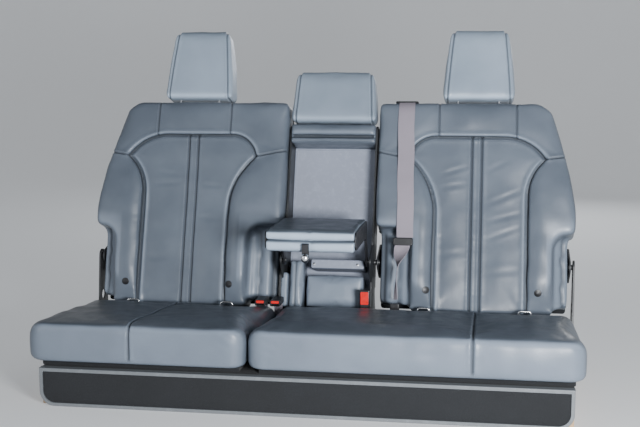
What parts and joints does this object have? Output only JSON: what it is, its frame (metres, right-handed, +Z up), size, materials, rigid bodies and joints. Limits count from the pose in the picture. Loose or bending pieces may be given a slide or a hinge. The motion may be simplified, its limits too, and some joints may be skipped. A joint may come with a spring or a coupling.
{
  "type": "rear bench seat",
  "caption": "Leather rear bench seat on a carpeted riser, with folding outer backs, a fold-down armrest and sliding headrests.",
  "frame": {"origin": "on the floor, on the seat's centre plane, under the line where cushion and backrest meet", "axes": "+X to the right as seen from the front, +Y to the rear, +Z up; a sitter faces -Y"},
  "size_m": [1.41, 0.8177, 0.9739],
  "materials": {
    "carpet": "short cut-pile car carpet",
    "edging": "light grey plastic edging",
    "board": "bare plywood",
    "steel": "black powder coat",
    "leather": "mid-grey grained leather",
    "leather_light": "light grey grained leather",
    "black_plastic": "satin black moulded plastic",
    "grey_plastic": "satin light grey moulded plastic",
    "red_plastic": "red press button",
    "bright_steel": "bright plated steel",
    "webbing": "woven belt webbing"
  },
  "bodies": {
    "base": {"riser_kick_panel": "carpet", "riser_edging": "edging", "riser_boards": "board", "riser_rear_rail": "board", "riser_deck": "carpet", "floor_brackets": "steel", "cushion_boards": "carpet", "cushion_left": "leather", "cushion_right": "leather", "centre_plate_left": "steel", "centre_plate_right": "steel", "side_brackets": "steel", "centre_back_panel": "carpet", "centre_recess_panel": "grey_plastic", "centre_rolls": "leather", "centre_lower_pads": "leather", "armrest_hinge_cover": "grey_plastic", "anchor_bar": "steel", "anchor_wires": "bright_steel", "buckle_bodies": "black_plastic", "buckle_buttons": "red_plastic", "buckle_stalks": "webbing", "belt_anchor": "black_plastic", "headrest_centre_guides": "black_plastic"},
    "back_left": {"back_left_pad": "leather", "back_left_panel": "carpet", "back_left_hinges": "steel", "headrest_left_guides": "black_plastic"},
    "back_right": {"back_right_pad": "leather", "back_right_panel": "carpet", "back_right_hinges": "steel", "belt_bezel": "black_plastic", "belt_webbing": "webbing", "belt_tongue": "black_plastic", "belt_tail": "webbing", "headrest_right_guides": "black_plastic"},
    "armrest": {"armrest_body": "leather_light", "armrest_lid": "leather_light", "armrest_arms": "black_plastic", "armrest_latch": "black_plastic"},
    "headrest_left": {"headrest_left_pad": "leather_light", "headrest_left_posts": "bright_steel"},
    "headrest_right": {"headrest_right_pad": "leather_light", "headrest_right_posts": "bright_steel"},
    "headrest_centre": {"headrest_centre_pad": "leather_light", "headrest_centre_posts": "bright_steel"}
  },
  "joints": [
    {"name": "back_left_fold", "type": "hinge", "parent": "base", "child": "back_left", "pos_m": [0, 0.07956, 0.29723], "axis": [1, 0, 0], "range_deg": [0, 100]},
    {"name": "back_right_fold", "type": "hinge", "parent": "base", "child": "back_right", "pos_m": [0, 0.07956, 0.29723], "axis": [1, 0, 0], "range_deg": [0, 100]},
    {"name": "armrest_lift", "type": "hinge", "parent": "base", "child": "armrest", "pos_m": [0, -0.01392, 0.31404], "axis": [-1, 0, 0], "range_deg": [0, 106]},
    {"name": "headrest_left_height", "type": "slide", "parent": "back_left", "child": "headrest_left", "axis": [0, 0.2797, 0.9601], "range_m": [0, 0.07]},
    {"name": "headrest_right_height", "type": "slide", "parent": "back_right", "child": "headrest_right", "axis": [0, 0.2797, 0.9601], "range_m": [0, 0.07]},
    {"name": "headrest_centre_height", "type": "slide", "parent": "base", "child": "headrest_centre", "axis": [0, 0.2797, 0.9601], "range_m": [0, 0.035]}
  ]
}
